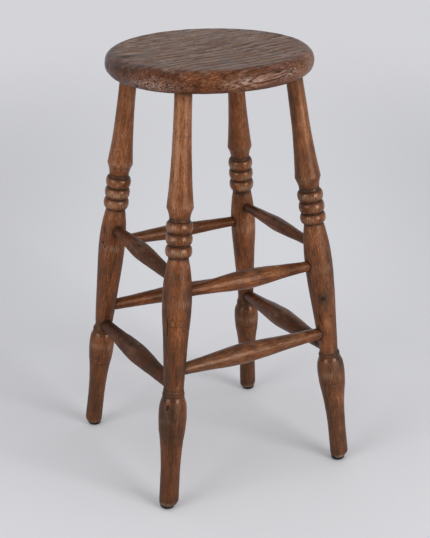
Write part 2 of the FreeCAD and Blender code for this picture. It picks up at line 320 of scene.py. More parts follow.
class Skin:
    """A turned piece's skin: rings of points, moved and painted before the mesh is made."""

    def __init__(self, centres, radii, axes, count, along):
        self.angles = np.arange(count) * TURN / count
        self.centres = centres
        self.outward = axes.ring_directions(self.angles)
        self.radii = np.repeat(radii[:, None], count, axis=1)
        self.along = np.repeat(along[:, None], count, axis=1)
        self.paint = {name: np.zeros_like(self.radii) for name in paint_names}

    def points(self):
        return self.centres[:, None, :] + self.radii[:, :, None] * self.outward[None, :, :]

    def away(self, turn):
        """The angle from a turn to each point round the axis, at most a half turn either way."""
        return (self.angles - turn + math.pi) % TURN - math.pi

    def roughen(self, table, chance, seed, oval_share):
        """Makes the skin a little oval, then moves it by each of the table's ripples in turn."""
        self.radii *= 1 + oval_share * np.cos(2 * (self.angles - chance.uniform(*any_turn)))
        for row in table:
            self.radii += ripples(self.points(), (row,), seed)

    def spot(self, place, turn, long_reach, round_reach):
        """A soft oval share: one at a place and turn, fading out over the reaches."""
        round_share = self.radii * self.away(turn) / round_reach
        return hump(np.hypot((self.along - place) / long_reach, round_share), 1.0)

    def dent(self, chance, count, **sizes):
        """Dents at spots. Sizes given as ranges are drawn, in the order in which they stand."""
        for _ in range(count):
            spot = {key: chance.uniform(*size) if isinstance(size, tuple) else size
                    for key, size in sizes.items()}
            self.radii -= spot.pop("depth") * self.spot(**spot)

    def pit(self, place, degrees, depth, radius):
        """A dark hole with a soft lip, such as a dead knot or a nail hole."""
        distance = np.hypot(self.along - place, self.radii * self.away(math.radians(degrees)))
        inside = 1 - ease(distance, *(radius * share for share in pit_lip_shares))
        self.radii -= depth * inside
        self.darken("hollow", inside)

    def crack(self, place, degrees, end_place, end_degrees, width, depth=0.3, dark_share=0.9):
        """A thin dark line over the skin, from one place and turn to another."""
        turn, end_turn = math.radians(degrees), math.radians(end_degrees)
        along, around = self.along - place, self.radii * self.away(turn)
        rise, run = end_place - place, self.radii * (end_turn - turn)
        share = np.clip((along * rise + around * run) / (rise ** 2 + run ** 2), 0, 1)
        line = hump(np.hypot(along - share * rise, around - share * run), width)
        self.radii -= depth * line
        self.darken("hollow", dark_share * line)

    def score(self, place, depth, width, degrees, spread_degrees, fade_share=0.7, dirt_share=0.55):
        """A line cut round the piece, all the way or about one side."""
        away, spread = np.abs(self.away(math.radians(degrees))), math.radians(spread_degrees)
        share = 1 - ease(away, spread * fade_share, spread) if spread < math.pi else np.ones_like(away)
        line = hump(self.along - place, width) * share
        self.radii -= depth * line
        self.darken("grime_and_shade", dirt_share * line)

    def darken(self, paint, share):
        """Raises a paint to a share, where it is less."""
        self.paint[paint] = np.maximum(self.paint[paint], share)

    def add_dirt_and_shade(self, gap, table, falling=hump):
        """Dirt and painted shade that fade with a gap, given as pairs of a strength and a reach."""
        for strength, reach in table:
            self.darken("grime_and_shade", strength * falling(gap, reach))

    def let_in(self, gap, table, depth, reach, falling):
        """Sinks the skin a little beside another piece, with dirt and painted shade in the gap."""
        self.radii -= depth * falling(gap, reach)
        self.add_dirt_and_shade(np.maximum(gap, 0), table, falling)

    def humps(self, places, reach):
        """The sum of bell curves at places along the axis."""
        return sum(hump(self.along - place, reach) for place in places)

    def grain(self, pith, seed):
        """Where each point lies in its tree: across, away from the pith, and along the fibres."""
        across = self.radii * np.cos(self.angles) + pith[0]
        deep = self.radii * np.sin(self.angles) + pith[1]
        places = np.stack([across, deep, self.along], axis=-1)
        wander = [ripples(places, (row,), seed) for row in grain_ripples]
        return places + np.stack([*wander, np.zeros_like(across)], axis=-1)

    def mesh(self, name, grain):
        """The closed mesh, with its paint and grain as point attributes."""
        rings, count = self.radii.shape
        index = np.arange(rings * count).reshape(rings, count)
        following = np.roll(index, -1, axis=1)
        sides = np.stack([index[:-1], following[:-1], following[1:], index[1:]], axis=-1).reshape(-1, 4)
        start, end = rings * count, rings * count + 1
        caps = [(following[0, k], index[0, k], start) for k in range(count)]
        caps += [(index[-1, k], following[-1, k], end) for k in range(count)]
        points = np.concatenate([self.points().reshape(-1, 3), self.centres[[0, -1]]])

        def with_caps(values):
            flat = values.reshape(rings * count, -1)
            return np.concatenate([flat, [flat[:count].mean(axis=0), flat[-count:].mean(axis=0)]])

        layers = {key: with_caps(value) for key, value in self.paint.items()}
        layers["grain"] = with_caps(grain)
        return make_object(name, points, sides.tolist() + caps, layers)


def add_object(name, data):
    """A new object in the scene."""
    made = bpy.data.objects.new(name, data)
    bpy.context.scene.collection.objects.link(made)
    return made


def make_object(name, points, faces, layers):
    """A smooth mesh object from millimetre points, with point attributes."""
    mesh = bpy.data.meshes.new(name)
    mesh.from_pydata((points * METRES).tolist(), [], faces)
    mesh.polygons.foreach_set("use_smooth", [True] * len(mesh.polygons))
    for key, values in layers.items():
        kind, field = ("FLOAT_VECTOR", "vector") if values.shape[1] == 3 else ("FLOAT", "value")
        layer = mesh.attributes.new(key, kind, "POINT")
        layer.data.foreach_set(field, values.astype(np.float32).ravel())
    return add_object(name, mesh)


# Legs

leg_count_round = 128
# Ripples of the skin, of the worn patches and of the tone: a swing, sizes and a step of the seed
leg_skin_ripples = ((0.10, (30, 30, 90), 0), (0.045, (9, 9, 14), 2))
leg_patch_ripples = ((0.5, (30, 30, 40), 3),)
leg_tone_ripples = ((0.10, (45, 45, 110), 4), (0.05, (14, 14, 40), 5))
# Dirt and painted shade round a stretcher's end, at the ring and at the beads, as pairs of a strength and a
# reach
joint_dirt_and_shade = ((0.95, 2.2), (0.28, 7.0))
ring_dirt_and_shade = ((0.6, 2.3), (0.27, 4.6))
bead_dirt_and_shade = ((0.98, 2.3), (0.441, 4.6))
# Painted shade at the top of each leg under the seat, and dirt low on each leg near the floor
seat_joint_shade = 0.8
seat_joint_reach = 14.0
foot_dirt = 0.25
foot_dirt_height = 34.0
# A foot worn on one side: how high, how sharply, and how much all round
foot_wear_reach = 11.0
foot_wear_sharpness = 1.5
foot_wear_all_round = 0.5
foot_chip_reach = 8.0
# High places rubbed pale, on the bead crowns also painting a highlight
rub_share = 0.30
foot_rub_share = 0.95
bead_rub_and_highlight = 1.8
# Polish at the floor, the swell, the vase, the bell and the seat, on the swell's shoulder and on beads
leg_polish_shares = (-0.2, -1.40, -0.45, 0.40, 0.40)
shoulder_place_share = 0.88
shoulder_polish = 3.0
shoulder_dullness = 1.4
shoulder_reach = 4.5
bead_polish = 1.6
bead_polish_reach = 10.0

# Holes: a height, a turn in degrees from the viewpoint, a depth and a radius
leg_pits = {
    "front_left": ((173.0, -23, 1.2, 3.2), (168.5, -26, 0.8, 2.0), (312.9, -15, 0.3, 1.6),
                   (294.5, 36, 0.35, 1.7), (421.0, 12, 0.3, 1.4)),
    "front_right": ((295.2, -3, 0.3, 4.3), (262.0, 30, 0.2, 1.5)),
    "back_left": ((354.0, -42, 0.4, 2.4), (347.0, -30, 0.3, 1.8)),
    "back_right": ((300.0, 120, 0.4, 2.6),),
}
# Scored lines: a height, a depth, a half width, a turn in degrees and how far it runs each way from there
leg_scores = {
    "front_left": ((136.0, 0.22, 0.7, 0, 180), (124.5, 0.20, 0.7, 0, 180), (641.7, 0.14, 0.7, 40, 75),
                   (588.9, 0.10, 0.6, 35, 70), (301.0, 0.10, 0.7, 10, 60)),
    "front_right": ((144.8, 0.12, 0.6, 30, 80), (137.5, 0.10, 0.6, 150, 100), (82.0, 0.08, 0.6, 10, 60)),
    "back_left": ((138.6, 0.22, 0.8, 0, 180), (125.7, 0.20, 0.8, 0, 180)),
    "back_right": ((141.0, 0.18, 0.7, 0, 180), (129.0, 0.18, 0.7, 0, 180)),
}
# Darker and lighter patches: a height, a turn in degrees, a reach along and round, and a strength. Most are
# stains; on the front left leg the rows at 590 and 575 paint a highlight and shade on the upper leg, and
# the row at 160 and 74 degrees paints a lit band on the swell's right edge.
leg_stains_and_light = {
    "front_left": ((217, 17, 14, 5, -0.22), (590, -34, 70, 6, 0.12), (575, 34, 60, 6, -0.08),
                   (160, -50, 38, 10, -0.16), (166, -8, 12, 12, -0.08), (160, 74, 34, 8, 0.40),
                   (176, -26, 5, 6, 0.20), (140, 10, 14, 16, -0.06), (330, -62, 60, 7, -0.16),
                   (230, 12, 60, 7, 0.08), (398, -20, 9, 8, 0.18), (395, 48, 10, 7, 0.16),
                   (543, -6, 9, 6, -0.12), (372, -26, 12, 7, -0.16), (618, -20, 22, 7, 0.10),
                   (20, -30, 16, 9, 0.12)),
    "front_right": ((295, -3, 8.0, 7.5, -0.50), (150, 40, 30, 9, 0.16), (110, 30, 30, 8, 0.20),
                    (182, 60, 14, 9, -0.24), (345, 20, 40, 9, 0.12), (505, -50, 40, 7, -0.12),
                    (600, -34, 50, 6, -0.16), (22, 20, 14, 8, 0.2), (330, -66, 50, 6, -0.16)),
    "back_left": ((352, -40, 16, 7, -0.26), (376, -46, 10, 7, -0.24), (392, 26, 14, 9, -0.14),
                  (300, -68, 60, 5, -0.16), (500, -2, 26, 8, 0.12), (640, -70, 30, 6, -0.20),
                  (60, 30, 40, 6, 0.10)),
    "back_right": ((620, 0, 30, 9, 0.08), (395, -10, 12, 12, -0.12), (150, -20, 30, 8, -0.10)),
}
# Cracks: a height and a turn in degrees at the start, the same at the end, and a half width
leg_cracks = {
    "front_left": ((171, -14, 167, 2, 1.1), (167, 2, 158, -2, 1.0), (161, -16, 152, -8, 1.0),
                   (158, -2, 149, 9, 1.1), (314, -39, 300, -37, 1.3), (300, -37, 286, -39, 1.5),
                   (226, 14, 219, 16, 1.1), (212, 19, 206, 17, 1.2), (346, -50, 322, -46, 0.8),
                   (381, -30, 366, -28, 0.8), (259, -8, 243, -9, 0.8)),
    "front_right": ((196, 8, 189, 34, 0.9), (268, -30, 249, -26, 0.9), (322, 22, 308, 24, 0.8)),
    "back_left": ((356, -44, 348, -34, 1.1), (378, -47, 371, -43, 1.2), (300, 10, 281, 14, 0.8)),
    "back_right": ((330, 140, 296, 146, 1.0), (232, -20, 214, -18, 0.8)),
}


class Leg:
    """One turned leg, a little bowed, from its glide to the end of its tenon in the seat."""

    def __init__(self, name, shape):
        self.name = name
        self.shape = shape
        self.start = np.array([*shape.foot, 0.0])
        self.end = np.array([*shape.top, seat_underside])
        self.axes = Frame(self.start, self.end)
        self.heights, self.profile = self.outline().arrays()
        self.crests = (shape.swell[0], shape.vase[0], shape.bell_height)
        self.bead_crowns = [edge + bead_crown_rise for edge in shape.bead_edges[:-1]]

    def at(self, heights):
        """Points of the axis at heights above the floor."""
        share = np.atleast_1d(heights)[:, None] / seat_underside
        bend = 4 * share * (1 - share) * np.array([*self.shape.bow, 0.0])
        return self.start * (1 - share) + self.end * share + bend

    def outline(self):
        shape = self.shape
        outline = Outline(glide_height, shape.foot_diameter - 2 * foot_round)
        outline.flow(foot_round_shares, shape.foot_diameter, glide_height + foot_round)
        outline.line(shape.foot_diameter, ankle_height)
        outline.flow(swell_rise_shares, shape.swell[1], shape.swell[0], flat_start=True)
        outline.flow(swell_shoulder_shares, shape.groove[1], shape.groove[0], True, False)
        outline.bead(shape.ring_diameter, shape.groove[1], shape.groove[0] + ring_width)
        outline.flow(cove_shares, shape.neck[1], shape.neck[0])
        outline.flow(shape.vase_rise_shares, shape.vase[1], shape.vase[0])
        outline.flow(vase_shoulder_shares, shape.vase_end[1], shape.vase_end[0], True, False)
        edges = shape.bead_edges
        for low, high in zip(edges, edges[1:]):
            outline.line(bead_groove_diameter, low + bead_groove_width / 2)
            outline.bead(bead_diameter, bead_groove_diameter, high - bead_groove_width / 2)
        outline.line(shape.vase_end[1], edges[-1] + bell_foot_width)
        outline.flow(bell_shares, bell_diameter, shape.bell_height, flat_end=False)
        outline.flow(taper_shares, shape.top_diameter, seat_underside)
        outline.line(shape.top_diameter, seat_underside + leg_tenon_length)
        return outline

    def radius_at(self, heights):
        return np.interp(heights, self.heights, self.profile)

    def build(self, joints, seed):
        """The leg's object. Joints are the stretchers that enter it, as (start, direction, radius)."""
        skin = Skin(self.at(self.heights), self.profile, self.axes, leg_count_round, self.heights)
        foot_worn = self.wear_down(skin, seed)
        points = skin.points()
        self.add_dirt_and_shade(skin, points, joints)
        self.rub(skin, points, foot_worn, seed)
        self.colour(skin, points, seed)
        return skin.mesh("leg_turned_" + self.name, skin.grain(self.shape.pith, seed + 6))

    def wear_down(self, skin, seed):
        """Makes the skin uneven, dented, scored and cracked. Gives the share by which the foot is worn."""
        chance = np.random.default_rng(seed)
        skin.roughen(leg_skin_ripples, chance, seed, oval_share=0.007)
        degrees, depth = self.shape.foot_wear
        side = np.clip(np.cos(skin.angles - math.radians(degrees)), 0, 1) ** foot_wear_sharpness
        corner = ease(-skin.along, -glide_height - foot_wear_reach, -glide_height) ** 2
        foot_worn = corner * side
        skin.radii -= depth * foot_worn + foot_wear_all_round * corner
        skin.dent(chance, count=26, depth=(0.10, 0.38), place=(20, 640), turn=any_turn,
                  long_reach=(1.5, 6.0), round_reach=(1.2, 3.5))
        for crown in self.bead_crowns:
            skin.dent(chance, count=3, depth=(0.2, 0.5), place=crown, turn=any_turn,
                      long_reach=2.2, round_reach=3.0)
        for table, mark in ((leg_scores, skin.score), (leg_pits, skin.pit), (leg_cracks, skin.crack)):
            for row in table[self.name]:
                mark(*row)
        return foot_worn

    def add_dirt_and_shade(self, skin, points, joints):
        """Dirt and painted shade in the hollows and round the joints, which are let in a little, painted
        shade under the seat, and dirt at the floor.
        """
        shape = self.shape
        for start, direction, radius in joints:
            way = points - start
            forward = way @ direction
            off = np.linalg.norm(way - forward[:, :, None] * direction, axis=-1)
            near = np.where(forward > 0, off - radius, skin.radii.max())
            skin.let_in(near, joint_dirt_and_shade, depth=0.45, reach=1.3, falling=hump)
        ring_hollows = (shape.groove[0], shape.groove[0] + ring_width, shape.neck[0] - neck_hollow_drop)
        edges = shape.bead_edges
        bead_hollows = (shape.vase_end[0] + vase_hollow_rise, *edges, edges[-1] + bell_foot_width)
        for hollows, table in ((ring_hollows, ring_dirt_and_shade), (bead_hollows, bead_dirt_and_shade)):
            for height in hollows:
                skin.add_dirt_and_shade(skin.along - height, table)
        # Painted shade where the leg goes into the seat
        at_seat = ease(skin.along, seat_underside - seat_joint_reach, seat_underside)
        skin.darken("grime_and_shade", seat_joint_shade * at_seat)
        skin.darken("grime_and_shade", foot_dirt * ease(-skin.along, -foot_dirt_height, -glide_height))

    def rub(self, skin, points, foot_worn, seed):
        """Rubs the stain thin on the crests, the beads and the foot; on the bead crowns the pale rub also
        paints a highlight.
        """
        shape = self.shape
        rubbed = skin.humps(self.crests, reach=6.0) + bead_rub_and_highlight * skin.humps(self.bead_crowns, reach=4.5)
        patches = 0.5 + ripples(points, leg_patch_ripples, seed)
        chipped = ease(-skin.along, -glide_height - foot_chip_reach, -glide_height)
        chipped *= np.clip(1.6 * patches, 0, 1)
        foot_rubbed = foot_rub_share * foot_worn * (0.6 + 0.5 * patches)
        wear_and_highlight = shape.fade + rub_share * rubbed * patches + foot_rubbed + shape.foot_chips * chipped
        skin.paint["wear_and_highlight"] = np.clip(wear_and_highlight, 0, 1)

    def colour(self, skin, points, seed):
        """Sets the tone of the stain, with a few painted highlights and shade among the stains, and the
        polish along the leg.
        """
        shape = self.shape
        heights = (0.0, *self.crests, stool_height)
        tone = np.interp(skin.along, heights, shape.tones) + ripples(points, leg_tone_ripples, seed)
        for place, degrees, long_reach, round_reach, strength in leg_stains_and_light[self.name]:
            tone += strength * skin.spot(place, math.radians(degrees), long_reach, round_reach)
        skin.paint["tone"] = tone
        polish = np.interp(skin.along, heights, leg_polish_shares)
        shoulder = (1 - shoulder_place_share) * shape.swell[0] + shoulder_place_share * shape.groove[0]
        bright = shoulder_polish * hump(skin.along - shoulder, shoulder_reach) - shoulder_dullness
        polish = np.maximum(polish, bright)
        for crown in self.bead_crowns:
            polish = np.maximum(polish, bead_polish * hump(skin.along - crown, bead_polish_reach))
        skin.paint["polish"] = polish


# Stretchers

stretcher_count_round = 88
stretcher_hidden_length = 14.0
# Ripples as on the legs
stretcher_skin_ripples = ((0.12, (40, 40, 40), 0), (0.05, (10, 10, 10), 1))
stretcher_patch_ripples = ((0.5, (26, 26, 26), 2),)
stretcher_tone_ripples = ((0.09, (60, 60, 60), 3), (0.05, (18, 18, 18), 4))
# No dent is nearer to an end than this
dent_margin = 20.0
# Dirt and painted shade where a stretcher enters a leg, as pairs of a strength and a reach
entry_dirt_and_shade = ((0.75, 1.8), (0.18, 12.0))
crest_wear_reach = 26.0


class Stretcher:
    """One turned stretcher between two legs, with its tenons inside them."""

    def __init__(self, name, shape, legs):
        self.name = name
        self.shape = shape
        self.leg_names = stretcher_legs[name.split("_")[0]]
        self.legs = [legs[leg] for leg in self.leg_names]
        self.start, self.end = (leg.at(height)[0] for leg, height in zip(self.legs, shape.heights))
        self.axes = Frame(self.start, self.end)
        self.length = np.linalg.norm(self.end - self.start)
        self.crest = self.length * shape.crest_share

    def joint(self, leg_name):
        """Where and how the stretcher enters a leg."""
        index = self.leg_names.index(leg_name)
        start = (self.start, self.end)[index]
        direction = self.axes.along * (1, -1)[index]
        return start, direction, self.shape.end_diameters[index] / 2

    def outline(self):
        shape = self.shape
        inside = [leg.radius_at(height) for leg, height in zip(self.legs, shape.heights)]
        first_wood, second_wood = inside[0], self.length - inside[1]
        rising = [(1 - way, 1 - change) for way, change in reversed(stretcher_shares)]
        outline = Outline(first_wood - stretcher_hidden_length, shape.end_diameters[0])
        outline.line(shape.end_diameters[0], first_wood)
        outline.flow(rising, shape.crest_diameter, self.crest)
        outline.flow(stretcher_shares, shape.end_diameters[1], second_wood, flat_start=True, flat_end=False)
        outline.line(shape.end_diameters[1], second_wood + stretcher_hidden_length)
        return outline

    def build(self, seed):
        shape = self.shape
        chance = np.random.default_rng(seed)
        places, radii = self.outline().arrays()
        centres = self.start + places[:, None] * self.axes.along
        skin = Skin(centres, radii, self.axes, stretcher_count_round, places)
        skin.roughen(stretcher_skin_ripples, chance, seed, oval_share=0.012)
        skin.dent(chance, count=12, place=(dent_margin, self.length - dent_margin), turn=any_turn,
                  depth=(0.10, 0.35), long_reach=(1.5, 7.0), round_reach=(1.2, 3.0))
        for share, *pit in shape.pits:
            skin.pit(share * self.length, *pit)
        points = skin.points()
        self.let_in(skin, points)
        self.rub(skin, points, seed)
        skin.paint["tone"] = shape.tone + ripples(points, stretcher_tone_ripples, seed)
        skin.paint["polish"] += shape.polish
        pith = (chance.uniform(-30, 30), chance.uniform(18, 40))
        return skin.mesh("stretcher_turned_" + self.name, skin.grain(pith, seed + 5))

    def let_in(self, skin, points):
        """Lets the stretcher in where it enters a leg, with dirt and painted shade round it."""
        for leg in self.legs:
            height = points[:, :, 2]
            way = points - leg.at(height.ravel()).reshape(points.shape)
            way -= (way @ leg.axes.along)[:, :, None] * leg.axes.along
            gap = np.linalg.norm(way, axis=-1) - leg.radius_at(height)
            skin.let_in(gap, entry_dirt_and_shade, depth=0.55, reach=1.1, falling=fade)

    def rub(self, skin, points, seed):
        """Rubs the stain thin, mostly on the upper side."""
        up = skin.outward[:, 2]
        patches = 0.5 + ripples(points, stretcher_patch_ripples, seed)
        wear_and_highlight = rub_share * hump(skin.along - self.crest, crest_wear_reach) * ease(up, -0.2, 0.9) * patches
        patch = (0.45 + 0.55 * patches) * (0.35 + 0.65 * ease(up, -0.6, 0.8))
        for share, reach, strength in self.shape.rubs:
            wear_and_highlight = np.maximum(wear_and_highlight, strength * hump(skin.along - share * self.length, reach) * patch)
        skin.paint["wear_and_highlight"] = np.clip(wear_and_highlight, 0, 1)


# Seat

seat_cells = 200
seat_round_steps = 20
seat_under_steps = 16
seat_under_rings = 8

# Where the pith of the seat's tree lies
seat_pith = (16, 34)
elm_ring_gap = 14.0
# The open, dark share of a growth ring: where it rises and where it falls
ring_rise_shares = (0.56, 0.84)
ring_fall_shares = (0.88, 0.95)
# Ripples of the grain, the relief, the rim and the wear: a swing, sizes and a seed
elm_side_ripples = ((2.2, (170, 70, 70), 71), (0.4, (60, 26, 26), 72))
elm_depth_ripples = ((2.0, (170, 90, 90), 73),)
seat_top_ripples = ((0.16, (70, 34, 34), 81),)
seat_skin_ripples = ((0.06, (30, 6, 6), 82),)
rim_ripples = ((0.45, (60, 60, 60), 83), (0.12, (14, 14, 14), 84))
rim_patch_ripples = ((0.5, (26, 26, 14), 85),)
rim_border_ripples = ((4.0, (24, 24, 24), 86),)

# Where the rim's polish reaches further in over the top: a turn, a half width in degrees and how far
polish_bays = ((-40, 40, 7.0),)
# Where the rim swells out: a turn in degrees, a half width in degrees and how far
rim_swells = ((-149, 32, 4.2), (95, 45, 2.0), (-50, 25, 1.5))
# Where the rim's stain is lighter or darker: a turn, a half width in degrees and a strength. The dark rows
# at -172 and 158 are painted shade on the rim's left side.
rim_tones_and_shade = ((-120, 11, 0.05), (-50, 18, 0.15), (-150, 14, 0.02), (-172, 10, -0.14), (158, 26, -0.30),
             (60, 30, 0.10))
# Where the rim's stain is rubbed thin: a turn, a half width in degrees, a drop from the top and a strength.
# The rows at -152, -98 and -74 are painted highlights on the rim's front.
rim_rubs_and_highlights = ((-152, 14, 24, 1.0), (-98, 12, 20, 1.0), (-74, 14, 16, 0.85), (60, 18, 20, 0.45),
            (-5, 20, 20, 0.35), (140, 22, 24, 0.50))
# Nicks in the rim: a turn, a half width in degrees, a drop from the top and a depth
rim_nicks = ((-142, 0.8, 21, 1.6), (-146, 0.5, 14, 0.6), (-131, 0.7, 19, 0.7), (-113, 0.9, 23, 0.8),
             (-75, 0.7, 20, 0.8), (-25, 0.7, 13, 2.0), (20, 1.0, 15, 1.5), (95, 1.2, 12, 1.8),
             (170, 0.8, 16, 1.2))


def disc_grid(cells):
    """A net of cells bent to fill the unit disc, and its border in order of turn."""
    line = np.linspace(-1, 1, cells + 1)
    first, second = np.meshgrid(line, line, indexing="ij")
    disc = np.stack([first * np.sqrt(1 - second ** 2 / 2), second * np.sqrt(1 - first ** 2 / 2)], axis=-1)
    index = np.arange((cells + 1) ** 2).reshape(cells + 1, cells + 1)
    quads = np.stack([index[:-1, :-1], index[1:, :-1], index[1:, 1:], index[:-1, 1:]], axis=-1)
    border = np.concatenate([index[-1, :-1], index[::-1, -1][:-1], index[0, ::-1][:-1], index[:-1, 0]])
    return disc.reshape(-1, 2), quads.reshape(-1, 4), border


def seat_net():
    """The seat before wear: each point's place in plan, its drop from the top, and the faces."""
    disc, quads, border = disc_grid(seat_cells)
    count = len(border)
    rim = disc[border]
    levels = [disc * (seat_long_radius - seat_top_round_reach, seat_short_radius - seat_top_round_reach)]
    drops = [np.zeros(len(disc))]
    top_bend = np.linspace(0, math.pi / 2, seat_round_steps + 1)[1:]
    under_bend = np.linspace(0, math.pi / 2, seat_under_steps + 1)[1:]
    inward = [seat_top_round_reach * (1 - math.sin(bend)) for bend in top_bend]
    inward += [seat_under_round_reach * (1 - math.cos(bend)) for bend in under_bend]
    lower_part = seat_thickness - seat_top_round_depth
    depth = [seat_top_round_depth * (1 - math.cos(bend)) for bend in top_bend]
    depth += [seat_top_round_depth + lower_part * math.sin(bend) for bend in under_bend]
    under_long = seat_long_radius - seat_under_round_reach
    for step in range(1, seat_under_rings):
        inward.append(seat_under_round_reach + under_long * step / seat_under_rings)
        depth.append(seat_thickness)
    for reach, drop in zip(inward, depth):
        short_reach = reach * seat_short_radius / seat_long_radius if drop >= seat_thickness else reach
        levels.append(rim * (seat_long_radius - reach, seat_short_radius - short_reach))
        drops.append(np.full(count, drop))
    levels.append(np.zeros((1, 2)))
    drops.append(np.array([seat_thickness]))

    rings = [border] + [len(disc) + step * count + np.arange(count) for step in range(len(inward))]
    faces = quads.tolist()
    for upper, lower in zip(rings, rings[1:]):
        faces += np.stack([upper, lower, np.roll(lower, -1), np.roll(upper, -1)], axis=-1).tolist()
    flat = np.concatenate(levels)
    centre = len(flat) - 1
    faces += [(centre, after, here) for here, after in zip(rings[-1], np.roll(rings[-1], -1))]
    return flat, np.concatenate(drops), faces


def elm_grain(places):
    """Where each point of the seat lies in its tree: across, away from the pith, along the fibres."""
    x, y, z = places.T
    flat = places * (1, 1, 0)
    burr = 12 * hump(np.hypot((x + 50) / 60, (y - 62) / 38), 1.0)
    bend = 0.0009 * np.clip(x - 20, 0, None) ** 2
    across = y - seat_pith[0] - 0.03 * x - bend + burr + ripples(flat, elm_side_ripples)
    deep = seat_pith[1] + 0.10 * x + (stool_height - z) + ripples(flat, elm_depth_ripples)
    return np.stack([across, deep, x], axis=-1)


def growth(grain, gap):
    """The open, dark share of the growth ring at each place, from none to one."""
    rings = np.hypot(grain[:, 0], grain[:, 1]) / gap
    share = rings - np.floor(rings)
    return ease(share, *ring_rise_shares) * (1 - ease(share, *ring_fall_shares))


class Seat:
    """The solid round seat: a slightly oval disc with a bull nose, worn open grain on top."""

    def __init__(self):
        self.flat, self.drop, self.faces = seat_net()
        self.turn = np.degrees(np.arctan2(self.flat[:, 1], self.flat[:, 0]))
        self.places = np.column_stack([self.flat, stool_height - self.drop])
        self.grain = elm_grain(self.places)
        self.under = self.drop >= seat_thickness - 0.01
        outward = self.flat / (seat_long_radius, seat_short_radius)
        self.reach = np.hypot(*outward.T)
        self.outward = outward / np.maximum(self.reach, 1e-6)[:, None]
        self.nicks = self.at_turns(rim_nicks, drop_reach=3.0)

    def at_turns(self, table, drop_reach=None):
        """Strengths near turns: rows of a turn, a half width, a drop if it has a reach, and a strength."""
        total = np.zeros_like(self.drop)
        for turn, width, *drop, strength in table:
            near = hump((self.turn - turn + 180) % 360 - 180, width)
            total += strength * (near * hump(self.drop - drop[0], drop_reach) if drop else near)
        return total

    def points(self):
        """Each point with its relief, swells and nicks, turned and tilted as the real seat is."""
        open_grain = 0.30 * growth(self.grain, elm_ring_gap)
        sat_hollow = 0.5 * hump(self.reach, 0.55)
        relief = ripples(self.places, seat_top_ripples) - sat_hollow - open_grain
        relief = relief * (1 - ease(self.drop, 0.5, 9.0)) + ripples(self.places, seat_skin_ripples)
        z = self.places[:, 2] + np.where(self.under, 0.0, relief)
        swell = ripples(self.places, rim_ripples) + self.at_turns(rim_swells)
        side = np.where(self.under, 0.0, ease(self.drop, 0.0, 8.0))
        x, y = (self.flat + self.outward * ((swell - self.nicks) * side)[:, None]).T
        cosine, sine = math.cos(seat_turn), math.sin(seat_turn)
        x, y = x * cosine - y * sine + seat_middle[0], x * sine + y * cosine + seat_middle[1]
        tilt = x * seat_slope[0] + y * seat_slope[1]
        return np.stack([x, y, z + tilt * ease(z, seat_underside, stool_height)], axis=-1)

    def wear_and_highlight(self):
        """Where the rim's stain is rubbed thin, with painted highlights on the rim's front."""
        patches = 0.5 + ripples(self.places, rim_patch_ripples)
        wear_and_highlight = 0.5 * hump(self.drop - 10, 9.0) * np.clip(patches - 0.55, 0, 1)
        for row in rim_rubs_and_highlights:
            wear_and_highlight = np.maximum(wear_and_highlight, self.at_turns((row,), drop_reach=8.0) * (0.55 + 0.45 * patches))
        return wear_and_highlight * (1 - self.under)

    def polish(self):
        """One on the stained rim, none on the bare top."""
        edge_distance = (1 - self.reach) * seat_short_radius + ripples(self.places, rim_border_ripples)
        edge_distance -= self.at_turns(polish_bays)
        return np.where(self.under, 0.35, 1 - ease(edge_distance, 5.0, 22.0))

    def grime_and_shade(self):
        """Dirt and painted shade under the seat, and dirt in the nicks."""
        under = np.where(self.under, 1.0, ease(self.drop, seat_thickness - 5, seat_thickness))
        return np.maximum(0.75 * under, 0.8 * np.clip(self.nicks, 0, 1))

    def build(self):
        paint = {"polish": self.polish(), "wear_and_highlight": self.wear_and_highlight(), "grime_and_shade": self.grime_and_shade()}
        layers = {name: np.clip(values, 0, 1)[:, None] for name, values in paint.items()}
        # The rim's tones, with painted shade on its left side
        layers["tone"] = self.at_turns(rim_tones_and_shade)[:, None]
        layers["grain"] = self.grain
        return make_object("seat_round", self.points(), self.faces, layers)


# Materials


